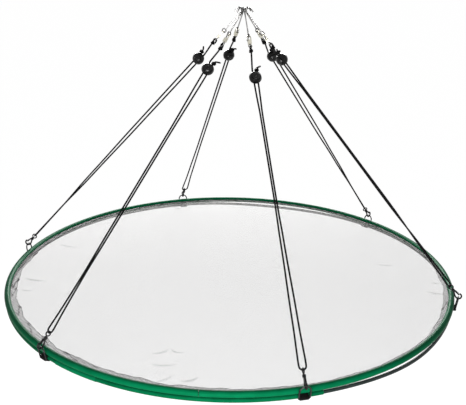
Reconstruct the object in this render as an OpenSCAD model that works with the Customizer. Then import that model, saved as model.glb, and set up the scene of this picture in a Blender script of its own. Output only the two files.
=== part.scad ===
// Hanging seed catcher: a round net on two stacked wire hoops, hung from six adjustable cord strands.
// The origin is the hanging point, where the six wire hooks gather. +Z is up.

/* [Hanging] */
// Height of the hanging point above the rim of the tray
hang_height = 455; // [400:1:500]
// How far the hanging point stands to +X of the hoops' centre, as the strands are adjusted
hang_shift = 17; // [0:1:25]
// Bearing of the first tab from +X, in degrees
first_tab = -15; // [-30:0.5:30]

/* [Rim] */
// Outside diameter of the tray over the rim cover
hoop_d = 762; // [700:1:820]
// Outside diameter of the split rim cover
cover_d = 10; // [9.8:0.1:11]
// Wall of the rim cover
cover_wall = 1.2; // [0.8:0.1:1.2]
// Gap at each seam between the two lengths of rim cover
seam_gap = 0.8; // [0.4:0.1:2]
// Diameter of the steel rod in the rim cover
rim_rod_d = 4; // [3.4:0.1:4.2]

/* [Lower hoop] */
// Diameter of the bare steel rod
rod_d = 5.6; // [5:0.1:6]
// Outside diameter of the plastic sleeve on the lower hoop
sleeve_d = 7.2; // [7:0.1:7.6]
// Wall of the plastic sleeves on the lower hoop
sleeve_wall = 0.5; // [0.4:0.05:0.6]
// Outside diameter of the short sleeve over the rod's joint
joint_d = 8.2; // [8:0.1:9]
// Length of the short sleeve over the rod's joint
joint_len = 78; // [50:1:90]
// How far the bare rod lies above the line of its sleeved part
bare_rise = 1.2; // [0:0.1:1.2]
// Bow of the lower hoop between the front tab and the right-hand tab
front_bow = 6; // [0:0.5:8]
// Bow of the lower hoop between the two rear tabs
rear_bow = 3; // [0:0.5:8]

/* [Net] */
// Thickness of the net
net_t = 0.5; // [0.3:0.1:0.5]
// How far the net sags at its middle
net_sag = 3; // [0:0.5:4]
// Height of the soft creases that run in from the rim
crease_h = 0.8; // [0:0.1:1]
// Greatest width of the loose hem inside the rim
hem_w = 10; // [6:0.5:11]
// Thickness of the hem
hem_t = 0.3; // [0.2:0.05:0.35]
// Most that the hem's ruffle stands up
hem_ruffle = 2.2; // [0:0.1:3]

/* [Tabs and D rings] */
// Width of the webbing
web_w = 13; // [10:0.1:13]
// Thickness of one layer of the webbing
web_t = 1; // [0.7:0.05:1]
// Wire diameter of the D rings
ring_wire_d = 2.2; // [1.8:0.1:2.4]
// Clear width inside a D ring
ring_inside_w = 14; // [13.8:0.1:16]
// Height of a D ring between wire centres
ring_h = 20.8; // [20.6:0.1:24]
// Lean of the D rings out from upright, in degrees
ring_lean = 10; // [10:0.5:16]

/* [Cords] */
// Diameter of the braided cord
cord_d = 2.6; // [2.2:0.1:2.7]
// Radius of the loop that the cord makes in the lower clasp's eye
loop_r = 5.2; // [5:0.1:6.5]
// Spacing of the two cords in a lock
cord_gap = 6.2; // [6:0.1:6.4]

/* [Cord locks] */
// Diameter of the ball
ball_d = 19; // [18.6:0.1:21]
// Diameter of the push button
button_d = 12.8; // [12.4:0.1:13]
// Travel of the push button
button_travel = 2.4; // [1.5:0.1:2.4]
// Height of the cord slot through the ball
slot_h = 3.4; // [3.2:0.1:3.6]

/* [Wire hooks] */
// Wire diameter of the hooks
hook_wire_d = 2; // [1.6:0.1:2.1]
// Radius of the open curl, to the middle of the wire
curl_r = 4.3; // [4:0.1:5]
// Distance down the strand from the hanging point to the middle of the curl
curl_at = 7; // [6.5:0.1:9]
// Distance down the strand to the middle of the closed eye
hook_eye_at = 47.5; // [40:0.5:50]

/* [Upper clasps] */
// Width of the clasp body
upper_body_w = 6; // [5.8:0.1:7]
// Length of the clasp body
upper_body_len = 7.4; // [7:0.1:9]
// Thickness of the clasp body
upper_body_t = 3.4; // [3.4:0.1:4]

/* [Lower clasps] */
// Bar diameter of the clasp
lower_bar_d = 2.6; // [2.4:0.1:2.7]
// Radius of the hook's round end, to the middle of the bar
lower_hook_r = 4.6; // [4.5:0.1:5]
// Height of the swivel eye's centre above the D ring's wire
lower_eye_at = 21.5; // [21:0.5:24]

/* [Hidden] */
$fn = 40;

// Clearances
running = 0.05;     // round parts that turn in each other
snug = 0.1;         // parts that lie against each other
loose = 0.3;        // parts that hang on each other

// Strands, counted from the first tab the way that bearings grow
strands = [0:5];
strand_pitch = 60;
tab_shift = [0, -1.5, 0.5, 0, 0.5, 0.5];      // each tab's slip along the hoop, in degrees
lock_at = [98, 108, 115, 111, 114, 121];      // each lock's distance down its strand
tail_side = [1, 1, 1, -1, 1, 1];              // the side of the lock on which the cord's tail comes out
tail_turn = [30, -20, 35, 50, 15, 25];        // each tail's bearing, from straight out past its side
tail_len = [6, 7, 6, 8, 9, 7];

// Cord routes below the locks: share of the way down, spacing of the two cords, turn of the pair
cord_stations = [
    [[0, 6.2, 125], [0.12, 3.4, 125], [0.4, 3.2, 125], [0.6, 4, 125], [0.85, 5, 190], [1, 10.4, 190]],
    [[0, 6.2, 130], [0.4, 5.6, 130], [0.6, 3.2, 130], [0.85, 3.4, 210], [1, 10.4, 210]],
    [[0, 6.2, 165], [0.6, 6.4, 165], [0.85, 7.4, 180], [1, 10.4, 180]],
    [[0, 6.2, -80], [0.35, 5.4, -80], [0.6, 3.6, -80], [0.85, 3.4, 0], [1, 10.4, 0]],
    [[0, 6.2, -45], [0.25, 3.4, -45], [0.6, 3.2, -45], [0.78, 3.4, 0], [0.9, 5.6, 0], [1, 10.4, 0]],
    [[0, 6.2, 0], [0.14, 3.4, 0], [0.45, 3.2, 0], [0.6, 5, 0], [0.85, 8, 0], [1, 10.4, 0]]];
arm_rings = 18;
loop_rings = 8;
cord_sides = 8;
arm_start = 10;     // the stations start this far below a lock's middle

// Rim
cover_r = cover_d / 2;
bore_r = cover_r - cover_wall;
hoop_r = (hoop_d - cover_d) / 2;
rim_rod_r = rim_rod_d / 2;
slit_angles = [164, 232];           // bearings of the slit's lips round the rod, 180 being inward
seam_angles = [190, 264];           // bearings of the seams in the rim cover

// Lower hoop
rod_r = rod_d / 2;
sleeve_r = sleeve_d / 2;
sleeve_bore_r = sleeve_r - sleeve_wall;
joint_r = joint_d / 2;
lower_z = -(cover_r + joint_r + snug);
sleeve_angles = [190, 290];         // bearings between which the lower rod is sleeved
joint_angle = 235;                  // bearing of the rod's joint
joint_half_angle = joint_len / hoop_r * 90 / PI;
rod_end_angle = 0.1;                // half the opening between the rod's ends, in degrees
lower_rings = 100;
lower_sides = 10;
bow_angles = [[290, 345], [43.5, 105.5]];
bow_heights = [front_bow, rear_bow];
rise_angle = 57;                    // degrees from the joint where the bare rod starts to rise
rise_over_angle = 20;

// Net
net_edge = hoop_r - rim_rod_r - web_t - 2 * snug;
net_radii = [0.3, 0.55, 0.75, 0.86, 0.93, 0.97, 0.99, 1];
net_sectors = 72;
crease_from = 0.6;                  // creases start at this share of the radius
hem_sectors = 120;
hem_z = net_t / 2 + snug;
// Bearing, and the hem's width there as a share of the greatest
hem_shares = [[0, 0.75], [12, 0.5], [25, 0.35], [60, 0.35], [130, 0.4], [150, 0.6], [166, 1], [222, 1],
              [232, 0.8], [245, 0.65], [258, 0.4], [280, 0.3], [295, 0.25], [325, 0.3], [336, 0.7], [360, 0.75]];

// D rings and tabs
ring_wire_r = ring_wire_d / 2;
ring_half_w = ring_inside_w / 2 + ring_wire_r;
ring_corner_r = 1.6;
bar_out = cover_r + 1.8;
bar_z = lower_z - 1;
top_out = bar_out + ring_h * sin(ring_lean);
top_z = bar_z + ring_h * cos(ring_lean);

// Wire hooks
hook_r = hook_wire_d / 2;
hook_eye_r = 2.9;
curl_angle = 190;                    // degrees of curl
tip_len = 5;

// Upper clasps
upper_bar_r = 1;
upper_hook_r = 2.7;
upper_at = hook_eye_at + hook_eye_r - (hook_r + upper_bar_r + 2 * snug) + upper_hook_r;
upper_body_top = -5;
upper_pivot = [-1.7, -6.6];
upper_gate_end = [-1.6, -1.6];
upper_gate_t = 1.2;
upper_pin_r = 0.5;
upper_slot_t = 2.2;
upper_eye_r = 2.5;
upper_eye_wire_r = 0.8;
upper_post_r = 0.6;
upper_head_r = 1.1;
head_t = 0.9;
end_wall = 0.9;
upper_eye_z = upper_body_top - upper_body_len - snug - upper_eye_r - upper_eye_wire_r;

// Cord knots: two wraps round the cord, which runs through them
cord_r = cord_d / 2;
wrap_bar_r = 1;
wrap_tilt = 12;
wrap_r = (cord_r + wrap_bar_r + snug) / cos(wrap_tilt);
knot_half = 2.3;
eye_wrap_r = upper_eye_wire_r + cord_r + snug;
eye_wrap_at = upper_at - upper_eye_z + upper_eye_r;
knot_at = eye_wrap_at + 6.2;

// Cord locks: the cords run along X, side by side in Y, and the button moves along Z
ball_r = ball_d / 2;
button_r = button_d / 2;
well_r = button_r + 4 * running;
rim_z = 5.8;
foot_z = -8.6;
well_z = -(slot_h / 2 + button_travel + 1.15);
spring_r = 3.8;
spring_wire = 0.6;
spring_floor = -7.4;
slot_w = cord_gap + cord_d + 0.4;
pinch_z = cord_r + running;
button_floor = -(pinch_z + 1.4);
button_slot_top = slot_h / 2 + button_travel;
stopper_at = ball_r + knot_half + loose;
stopper_out = cord_gap / 2 + 0.5;

// Lower clasps
lower_bar_r = lower_bar_d / 2;
lower_hook_x = 1.1;
lower_wire_gap = lower_hook_r - lower_bar_r - ring_wire_r - loose;
lower_hook_z = sqrt(lower_wire_gap * lower_wire_gap - lower_hook_x * lower_hook_x);
lower_tip_angle = 22;
lower_spine_top = 5;
lower_neck_z = lower_eye_at - 8.9;
lower_neck_lean = atan2(lower_hook_r - lower_hook_x, lower_neck_z + 1.2 - lower_spine_top);
lower_collar_r = 2.6;
lower_pivot = [2.1, lower_neck_z - 1.5];
lower_gate_r = 1.3;
lower_gate_end_r = 0.85;
lower_lug_t = 0.9;
lower_fork_t = 1.7;
lower_pin_r = 0.7;
lower_eye_r = 3.75;
lower_eye_wire_r = 1;
lower_post_r = 0.9;
lower_head_r = 1.5;
lower_collar_top = lower_eye_at - lower_eye_r - lower_eye_wire_r - snug;

// Where each strand runs, from the hanging point to the top wire of its D ring
function tab_angle(i) = first_tab + strand_pitch * i + tab_shift[i];
function ring_top(i) = [(hoop_r + top_out) * cos(tab_angle(i)) - hang_shift,
                        (hoop_r + top_out) * sin(tab_angle(i)),
                        top_z - hang_height];
function strand_len(i) = norm(ring_top(i));
function strand_turn(i) = atan2(ring_top(i).y, ring_top(i).x);
function strand_drop(i) = asin(-ring_top(i).z / strand_len(i));
function eye_turn(i) = cord_stations[i][len(cord_stations[i]) - 1][2];

function unit(v) = v / norm(v);
function polar(r, a) = [r * cos(a), r * sin(a)];
function ease(t) = (1 - cos(180 * t)) / 2;

// X runs down strand i, Z is square to it and away from the hoops' axis
module along_strand(i) {
    rotate([0, strand_drop(i), strand_turn(i)]) children();
}

// Z points up the strand and X away from the hoops' axis, at a distance down strand i
module up_strand(i, at) {
    along_strand(i) translate([at, 0, 0]) rotate([0, -90, 0]) children();
}

// The same, turned so that X runs along the rim
module up_strand_sideways(i, at) {
    up_strand(i, at) rotate([0, 0, 90]) children();
}

module at_hoops() {
    translate([-hang_shift, 0, -hang_height]) children();
}

// X points out from the hoops' axis and Y along the rim, at tab i
module at_tab(i) {
    at_hoops() rotate([0, 0, tab_angle(i)]) translate([hoop_r, 0, 0]) children();
}

// Bent-wire shapes, in the XZ plane
module arc_bar(r, bar_r, from, span) {
    rotate([90, 0, 0]) rotate([0, 0, from]) rotate_extrude(angle = span) translate([r, 0]) circle(bar_r);
}

module straight_bar(a, b, bar_r) {
    translate([a.x, 0, a.y]) rotate([0, atan2(b.x - a.x, b.y - a.y), 0]) cylinder(r = bar_r, h = norm(b - a));
}

module knob(p, r) {
    translate([p.x, 0, p.y]) sphere(r);
}

// A plate in the XZ plane, of thickness t in Y
module plate(t) {
    rotate([90, 0, 0]) linear_extrude(t, center = true) children();
}

// A lever's outline: two circles and the lines that touch both
module lever_outline(a, ra, b, rb) {
    way = atan2(b.y - a.y, b.x - a.x);
    turn = acos((ra - rb) / norm(b - a));
    polygon([a + polar(ra, way - turn), b + polar(rb, way - turn),
             b + polar(rb, way + turn), a + polar(ra, way + turn)]);
    translate(a) circle(ra);
    translate(b) circle(rb);
}

// A solid skinned over rings of points, each ring with the same count. The two faces of a sheet are split
// alike, so they never cross
module skin(rings, closed = false, sheet = false) {
    m = len(rings[0]);
    n = len(rings);
    last = closed ? n - 1 : n - 2;
    sides = [for (k = [0:last], j = [0:m - 1])
        let (a = k * m + j, b = k * m + (j + 1) % m, c = ((k + 1) % n) * m + (j + 1) % m, d = ((k + 1) % n) * m + j)
        each (sheet && j >= m / 2 ? [[a, b, d], [b, c, d]] : [[a, b, c], [a, c, d]])];
    caps = closed ? [] : concat([for (j = [1:m - 2]) [0, j + 1, j]],
                                [for (j = [1:m - 2]) [0, j, j + 1] + [1, 1, 1] * (n - 1) * m]);
    polyhedron(points = [for (ring = rings, p = ring) p], faces = concat(sides, caps));
}

// ---- Rim ----

module rim_rod() {
    color("dimgray") at_hoops() rotate_extrude() translate([hoop_r, 0]) circle(rim_rod_r);
}

module cover_length(from, to) {
    seam = seam_gap / hoop_r * 90 / PI;
    at_hoops() rotate([0, 0, from + seam])
        rotate_extrude(angle = to - from - 2 * seam)
            translate([hoop_r, 0]) difference() {
                circle(cover_r);
                circle(bore_r);
                polygon([[0, 0], for (a = [slit_angles[0], 200, slit_angles[1]]) polar(2 * cover_r, a)]);
            }
}

module rim_cover_long() {
    color("seagreen") cover_length(seam_angles[1], seam_angles[0] + 360);
}

module rim_cover_short() {
    color("seagreen") cover_length(seam_angles[0], seam_angles[1]);
}

// ---- Lower hoop ----

function bow(a) = let (b = (a + 360) % 360)
    max([for (k = [0, 1]) let (s = bow_angles[k])
        b > s[0] && b < s[1] ? bow_heights[k] * pow(sin(180 * (b - s[0]) / (s[1] - s[0])), 2) : 0]);

// Height of the lower rod at a bearing: it rises clear of its sleeved part
function lower_at(a) = let (off = abs((a - joint_angle + 540) % 360 - 180))
    lower_z + bare_rise * ease(min(1, max(0, (off - rise_angle) / rise_over_angle)));

function lower_ring(a) = [for (j = [0:lower_sides - 1])
    let (q = polar(rod_r, -360 * j / lower_sides))
    [(hoop_r + q.x) * cos(a), (hoop_r + q.x) * sin(a), lower_at(a) - bow(a) + q.y]];

module lower_rod() {
    first = joint_angle + rod_end_angle;
    span = 360 - 2 * rod_end_angle;
    color("darkslategray") at_hoops()
        skin([for (k = [0:lower_rings]) lower_ring(first + span * k / lower_rings)]);
}

module sleeve_length(from, to, r) {
    at_hoops() translate([0, 0, lower_z]) rotate([0, 0, from])
        rotate_extrude(angle = to - from)
            translate([hoop_r, 0]) difference() {
                circle(r);
                circle(sleeve_bore_r);
            }
}

module lower_sleeves() {
    color("seagreen") {
        sleeve_length(sleeve_angles[0], joint_angle - joint_half_angle - rod_end_angle, sleeve_r);
        sleeve_length(joint_angle + joint_half_angle + rod_end_angle, sleeve_angles[1], sleeve_r);
    }
}

module lower_joint_sleeve() {
    color("mediumseagreen") sleeve_length(joint_angle - joint_half_angle, joint_angle + joint_half_angle, joint_r);
}

// ---- Net ----

function crease(a) = (cos(7 * a + 20) + cos(11 * a) + cos(18 * a + 70)) / 3;

function net_point(f, a, side) = let (
        r = net_edge * f,
        swell = f < crease_from ? 0 : pow(sin(180 * (f - crease_from) / (1 - crease_from)), 2))
    [r * cos(a), r * sin(a), side * net_t / 2 - net_sag * (1 - f * f) + crease_h * swell * crease(a)];

// A thin sheet whose top and bottom share the same sag and creases
module net() {
    step = 360 / net_sectors;
    n = len(net_radii);
    layer = n * net_sectors + 1;
    points = [for (side = [1, -1]) each concat([net_point(0, 0, side)],
        [for (f = net_radii, k = [0:net_sectors - 1]) net_point(f, k * step, side)])];
    function id(side, ring, k) = side * layer + 1 + ring * net_sectors + k % net_sectors;
    top = [for (k = [0:net_sectors - 1]) each concat([[0, id(0, 0, k + 1), id(0, 0, k)]],
        [for (j = [0:n - 2]) each [[id(0, j, k), id(0, j, k + 1), id(0, j + 1, k + 1)],
                                   [id(0, j, k), id(0, j + 1, k + 1), id(0, j + 1, k)]]])];
    bottom = [for (f = top) [for (v = [2, 1, 0]) f[v] + layer]];
    edge = [for (k = [0:net_sectors - 1]) each [
        [id(0, n - 1, k), id(0, n - 1, k + 1), id(1, n - 1, k + 1)],
        [id(0, n - 1, k), id(1, n - 1, k + 1), id(1, n - 1, k)]]];
    color("gainsboro") at_hoops() polyhedron(points = points, faces = concat(top, bottom, edge));
}

function hem_width(a) = hem_w * lookup(a, hem_shares) * (1 + 0.12 * cos(23 * a) + 0.1 * cos(37 * a + 50));
function hem_rise(a) = hem_ruffle * lookup(a, hem_shares) * pow(0.5 + 0.3 * cos(29 * a) + 0.2 * cos(47 * a + 30), 2);

// The loose edge of the net, doubled over inside the rim
module net_hem() {
    inner = hoop_r - cover_r;
    color("silver") at_hoops() skin([for (k = [0:hem_sectors - 1])
        let (a = 360 * k / hem_sectors, r = inner - hem_width(a), z = hem_z + hem_rise(a))
        [[net_edge * cos(a), net_edge * sin(a), hem_z], [r * cos(a), r * sin(a), z],
         [r * cos(a), r * sin(a), z + hem_t], [net_edge * cos(a), net_edge * sin(a), hem_z + hem_t]]],
        closed = true, sheet = true);
}

// ---- Tabs and D rings ----

function on_sleeve(i) = let (a = (tab_angle(i) + 360) % 360) a > sleeve_angles[0] && a < sleeve_angles[1];

// A strip of thickness t along straight lines between points, with round bends
module strip(points, t) {
    for (k = [0:len(points) - 2]) {
        a = points[k];
        b = points[k + 1];
        side = t / 2 * [a.y - b.y, b.x - a.x] / norm(b - a);
        polygon([a + side, a - side, b - side, b + side]);
        if (k > 0)
            translate(a) circle(t / 2);
    }
}

// A strip of thickness t round part of a circle
module strip_round(r, t, from, to) {
    difference() {
        circle(r + t / 2);
        circle(r - t / 2);
        polygon([[0, 0], for (k = [0:4]) polar(3 * r, to + k * (360 + from - to) / 4)]);
    }
}

// Webbing looped round the rim's rod, out of the slit as a sewn double layer, inside and under the
// lower hoop, and round the D ring's straight side
module tab_outline(i) {
    low = lower_at(tab_angle(i));
    wrap = (on_sleeve(i) ? sleeve_r : rod_r) + snug + web_t;
    bar = [bar_out, bar_z];
    to_bar = bar - [0, low];
    leave = atan2(to_bar.y, to_bar.x) - acos(wrap / norm(to_bar)) + 360;
    run = polar(1, leave + 90);
    difference() {
        union() {
            circle(rim_rod_r + snug + web_t);
            strip([[-1.9, -1.2], [-5, -3.4], [-wrap, low]], 2 * web_t);
            translate([0, low]) strip_round(wrap, 2 * web_t, 180, leave);
            strip([[0, low] + polar(wrap, leave) - loose * run, bar], 2 * web_t - running);
            translate(bar) circle(ring_wire_r + snug + web_t);
        }
        circle(rim_rod_r + snug);
        translate(bar) circle(ring_wire_r + snug);
    }
}

module webbing_tabs() {
    color("black") for (i = strands)
        at_tab(i) plate(web_w) tab_outline(i);
}

module d_ring() {
    side_x = ring_half_w - ring_corner_r;
    arch_z = ring_h - ring_half_w;
    straight_bar([-side_x, 0], [side_x, 0], ring_wire_r);
    for (s = [-1, 1]) {
        translate([s * side_x, 0, ring_corner_r])
            arc_bar(ring_corner_r, ring_wire_r, s > 0 ? 270 : 180, 90);
        straight_bar([s * ring_half_w, ring_corner_r], [s * ring_half_w, arch_z], ring_wire_r);
    }
    translate([0, 0, arch_z]) arc_bar(ring_half_w, ring_wire_r, 0, 180);
}

module d_rings() {
    color("dimgray") for (i = strands)
        at_tab(i) translate([bar_out, 0, bar_z]) rotate([0, ring_lean, 0]) rotate([0, 0, 90]) d_ring();
}

// ---- Wire hooks ----

// X runs down the strand. The curl opens away from the hoops' axis
module wire_hook() {
    curl_start = 270 - curl_angle;
    tip = [curl_at, curl_r] + polar(curl_r, curl_start);
    tip_end = tip + polar(tip_len, curl_start - 80);
    translate([curl_at, 0, curl_r]) arc_bar(curl_r, hook_r, curl_start, curl_angle);
    straight_bar(tip, tip_end, hook_r);
    knob(tip_end, hook_r);
    straight_bar([curl_at, 0], [hook_eye_at - hook_eye_r, 0], hook_r);
    translate([hook_eye_at, 0, 0]) arc_bar(hook_eye_r, hook_r, 0, 360);
}

module wire_hooks() {
    color("silver") for (i = strands)
        along_strand(i) wire_hook();
}

// ---- Upper clasps: Z points up the strand, from the middle of the hook's round end ----

module rounded_plate_outline(w, low, high, r) {
    for (x = [-1, 1], z = [low + r, high - r])
        translate([x * (w / 2 - r), z]) circle(r);
    translate([-w / 2 + r, low]) square([w - 2 * r, high - low]);
    translate([-w / 2, low + r]) square([w, high - low - 2 * r]);
}

module upper_clasp_body() {
    low = upper_body_top - upper_body_len;
    arc_bar(upper_hook_r, upper_bar_r, 0, 180);
    knob([-upper_hook_r, 0], upper_bar_r);
    straight_bar([upper_hook_r, upper_body_top - 1], [upper_hook_r, 0], upper_bar_r);
    difference() {
        plate(upper_body_t) rounded_plate_outline(upper_body_w, low, upper_body_top, 0.9);
        translate([-upper_body_w, -upper_slot_t / 2, upper_pivot.y - 1.8])
            cube([upper_body_w + 0.4, upper_slot_t, upper_body_len]);
        translate([upper_pivot.x, 0, upper_pivot.y]) rotate([90, 0, 0])
            cylinder(r = upper_pin_r + running, h = upper_body_t + 1, center = true);
        translate([0, 0, low - 1]) cylinder(r = upper_post_r + running, h = end_wall + 1.1);
        translate([0, 0, low + end_wall]) cylinder(r = upper_head_r + snug, h = head_t + 2 * snug);
    }
}

module upper_clasp_bodies() {
    color("lightgray") for (i = strands)
        up_strand_sideways(i, upper_at) upper_clasp_body();
}

module upper_gate(i) {
    thumb = [-3.6, -5.2];
    color("silver") up_strand_sideways(i, upper_at) {
        plate(upper_gate_t) {
            lever_outline(upper_pivot, 1, upper_gate_end, 0.75);
            lever_outline(upper_pivot + [0, 0.3], 0.75, thumb, 0.65);
        }
        translate([upper_pivot.x, 0, upper_pivot.y]) rotate([90, 0, 0])
            cylinder(r = upper_pin_r, h = upper_body_t - 2 * snug, center = true);
    }
}

// The coil of each gate's torsion spring, round its pin and beside the gate
module upper_gate_springs() {
    inset = upper_gate_t / 2 + running;
    color("gray") for (i = strands)
        up_strand_sideways(i, upper_at)
            translate([upper_pivot.x, -inset, upper_pivot.y]) rotate([90, 0, 0])
                difference() {
                    cylinder(r = upper_pin_r + 0.4, h = (upper_slot_t - upper_gate_t) / 2 - 2 * running);
                    translate([0, 0, -1]) cylinder(r = upper_pin_r + running, h = upper_slot_t);
                }
}

module swivel_eye(r, wire_r, post_r, head_r, post_len) {
    arc_bar(r, wire_r, 0, 360);
    translate([0, 0, -post_len]) cylinder(r = post_r, h = post_len - r);
    translate([0, 0, -post_len]) cylinder(r = head_r, h = head_t);
}

module upper_swivel_eyes() {
    post_len = upper_body_top - upper_body_len + end_wall + snug + head_t - upper_eye_z;
    color("silver") for (i = strands)
        up_strand_sideways(i, upper_at) translate([0, 0, upper_eye_z]) rotate([180, 0, 0])
            swivel_eye(upper_eye_r, upper_eye_wire_r, upper_post_r, upper_head_r, post_len);
}

// ---- Lower clasps: Z points up the strand, from the D ring's top wire ----

module lower_clasp_body() {
    spine_x = lower_hook_x - lower_hook_r;
    tip = [lower_hook_x, lower_hook_z] + polar(lower_hook_r, lower_tip_angle);
    spine_top = [spine_x, lower_spine_top];
    neck = spine_top + polar((lower_neck_z + 1.2 - lower_spine_top) / cos(lower_neck_lean), 90 - lower_neck_lean);
    translate([lower_hook_x, 0, lower_hook_z]) arc_bar(lower_hook_r, lower_bar_r, 180, 180 + lower_tip_angle);
    knob(tip, lower_bar_r);
    straight_bar([spine_x, lower_hook_z], spine_top, lower_bar_r);
    knob(spine_top, lower_bar_r + snug);
    straight_bar(spine_top, neck, lower_bar_r);
    difference() {
        translate([0, 0, lower_neck_z]) cylinder(r = lower_collar_r, h = lower_collar_top - lower_neck_z);
        translate([0, 0, lower_collar_top - end_wall - 1]) cylinder(r = lower_post_r + running, h = end_wall + 2);
        translate([0, 0, lower_collar_top - end_wall - head_t - 2 * snug])
            cylinder(r = lower_head_r + snug, h = head_t + 2 * snug);
    }
    difference() {
        plate(lower_lug_t) lever_outline(lower_pivot, lower_gate_r, [1, lower_neck_z + 0.4], lower_gate_r);
        translate([lower_pivot.x, 0, lower_pivot.y]) rotate([90, 0, 0])
            cylinder(r = lower_pin_r + running, h = lower_bar_d, center = true);
    }
}

// The coil of the gate's torsion spring, round its pin and beside the lug
module lower_gate_spring() {
    translate([lower_pivot.x, -lower_lug_t / 2 - running, lower_pivot.y]) rotate([90, 0, 0])
        difference() {
            cylinder(r = lower_pin_r + 0.4, h = (lower_fork_t - lower_lug_t) / 2 - 2 * running);
            translate([0, 0, -1]) cylinder(r = lower_pin_r + running, h = lower_fork_t);
        }
}

module lower_clasp(i) {
    color("dimgray") up_strand(i, strand_len(i)) {
        lower_clasp_body();
        lower_gate_spring();
    }
}

// The gate's end rests inside the hook's tip
function lower_gate_end() = let (tip = [lower_hook_x, lower_hook_z] + polar(lower_hook_r, lower_tip_angle))
    tip - [lower_bar_r + lower_gate_end_r + snug, -0.2];

module lower_gate(i) {
    thumb = lower_pivot + 0.55 * (lower_gate_end() - lower_pivot) + [0.8, 0];
    color("dimgray") up_strand(i, strand_len(i)) {
        difference() {
            plate(lower_bar_d) {
                lever_outline(lower_pivot, lower_gate_r, lower_gate_end(), lower_gate_end_r);
                translate(thumb) circle(1);
            }
            translate([lower_pivot.x, 0, lower_pivot.y]) rotate([90, 0, 0])
                cylinder(r = lower_gate_r + loose, h = lower_fork_t, center = true);
        }
        translate([lower_pivot.x, 0, lower_pivot.y]) rotate([90, 0, 0])
            cylinder(r = lower_pin_r, h = lower_bar_d, center = true);
    }
}

module lower_swivel_eyes() {
    post_len = lower_eye_at - lower_collar_top + end_wall + snug + head_t;
    color("dimgray") for (i = strands)
        up_strand(i, strand_len(i)) translate([0, 0, lower_eye_at]) rotate([0, 0, -eye_turn(i)])
            swivel_eye(lower_eye_r, lower_eye_wire_r, lower_post_r, lower_head_r, post_len);
}

// ---- Cords ----

// Spacing and turn of the pair at a share f of the way down strand i
function station(i, f, column) = let (
        s = cord_stations[i],
        k = max([for (j = [0:len(s) - 2]) f >= s[j][0] ? j : 0]),
        t = ease((f - s[k][0]) / (s[k + 1][0] - s[k][0])))
    s[k][column] + t * (s[k + 1][column] - s[k][column]);

// A point beside the strand's line: X down the strand, the pair turned about it
function beside(x, offset, turn) = [x, offset * cos(turn), offset * sin(turn)];

function loop_at(i) = strand_len(i) - lower_eye_at - lower_eye_r + lower_eye_wire_r + cord_r + snug - loop_r;

function cord_arm(i, side) = let (start = lock_at[i] + arm_start, end = loop_at(i))
    [for (k = [0:arm_rings]) let (f = k / arm_rings)
        beside(start + f * (end - start), side * station(i, f, 1) / 2, station(i, f, 2))];

function cord_loop(i, side) = [for (k = [1:loop_rings - 1]) let (a = 180 * k / loop_rings)
    beside(loop_at(i) + loop_r * sin(a), side * loop_r * cos(a), eye_turn(i))];

function reversed(v) = [for (k = [len(v) - 1:-1:0]) v[k]];

// The cord's short end lies beside it, above the upper knot, and the cord turns round the clasp's eye
function eye_turn_path() = concat(
    [[knot_at - knot_half - 2 * snug, 0, -2 * cord_r - 2 * snug]],
    [for (t = [-90:45:90]) [eye_wrap_at - eye_wrap_r * cos(t), 0, eye_wrap_r * sin(t)]],
    [[eye_wrap_at + 2, 0, 1.7], [knot_at - knot_half, 0, 0.1], [knot_at + knot_half, 0, 0]]);

function cord_path(i) = let (
        turn = cord_stations[i][0][2],
        side = tail_side[i],
        half = side * cord_gap / 2,
        out = side * stopper_out,
        above = lock_at[i] - arm_start,
        stop = lock_at[i] - stopper_at,
        tail = turn + (side < 0 ? 180 : 0) + tail_turn[i])
    concat(eye_turn_path(), [beside(above, -half, turn)],
        cord_arm(i, -side), cord_loop(i, -side), reversed(cord_arm(i, side)),
        [beside(above + 2, half, turn), beside(stop + knot_half, out, turn), beside(stop - knot_half, out, turn),
         beside(stop - knot_half - 1.4, out, turn) + beside(0, 0.9, tail),
         beside(stop - knot_half - 0.4 * tail_len[i], out, turn) + beside(0, 0.9 * tail_len[i], tail)]);

// A round tube swept along points, its rings carried along without twist
module swept_tube(path, r, sides) {
    n = len(path);
    t = [for (k = [0:n - 1]) unit(path[min(k + 1, n - 1)] - path[max(k - 1, 0)])];
    u = [for (k = 0, v = unit(cross(t[0], [0, 1, 0.3])); k < n;
              k = k + 1, v = k < n ? unit(v - (v * t[k]) * t[k]) : v) v];
    skin([for (k = [0:n - 1]) let (w = cross(t[k], u[k]))
        [for (j = [0:sides - 1]) let (q = polar(r, -360 * j / sides)) path[k] + q.x * u[k] + q.y * w]]);
}

module cord(i) {
    color("black") along_strand(i) swept_tube(cord_path(i), cord_r, cord_sides);
}

// An overhand knot's wraps
module knot(turn) {
    for (s = [-1, 1])
        translate([0.8 * s, 0, 0]) rotate([turn, 0, 0]) rotate([0, 90 + s * wrap_tilt, 0])
            rotate_extrude() translate([wrap_r, 0]) circle(wrap_bar_r);
}

// One knot ties each cord to its upper clasp, and one stops its end above the lock
module cord_knots() {
    color("black") for (i = strands)
        along_strand(i) {
            translate([knot_at, 0, 0]) {
                knot(0);
                translate([0.6, 0, -wrap_r]) rotate([0, 140, 0]) cylinder(r = wrap_bar_r, h = 4.5);
            }
            translate(beside(lock_at[i] - stopper_at, tail_side[i] * stopper_out, cord_stations[i][0][2]))
                knot(cord_stations[i][0][2]);
        }
}

// ---- Cord locks ----

module at_lock(i) {
    along_strand(i) translate([lock_at[i], 0, 0]) rotate([cord_stations[i][0][2], 0, 0]) children();
}

module cord_slot(low, high) {
    rotate([90, 0, 90]) linear_extrude(ball_d + 2, center = true)
        rounded_plate_outline(slot_w, low, high, slot_h / 2 - 2 * snug);
}

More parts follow.
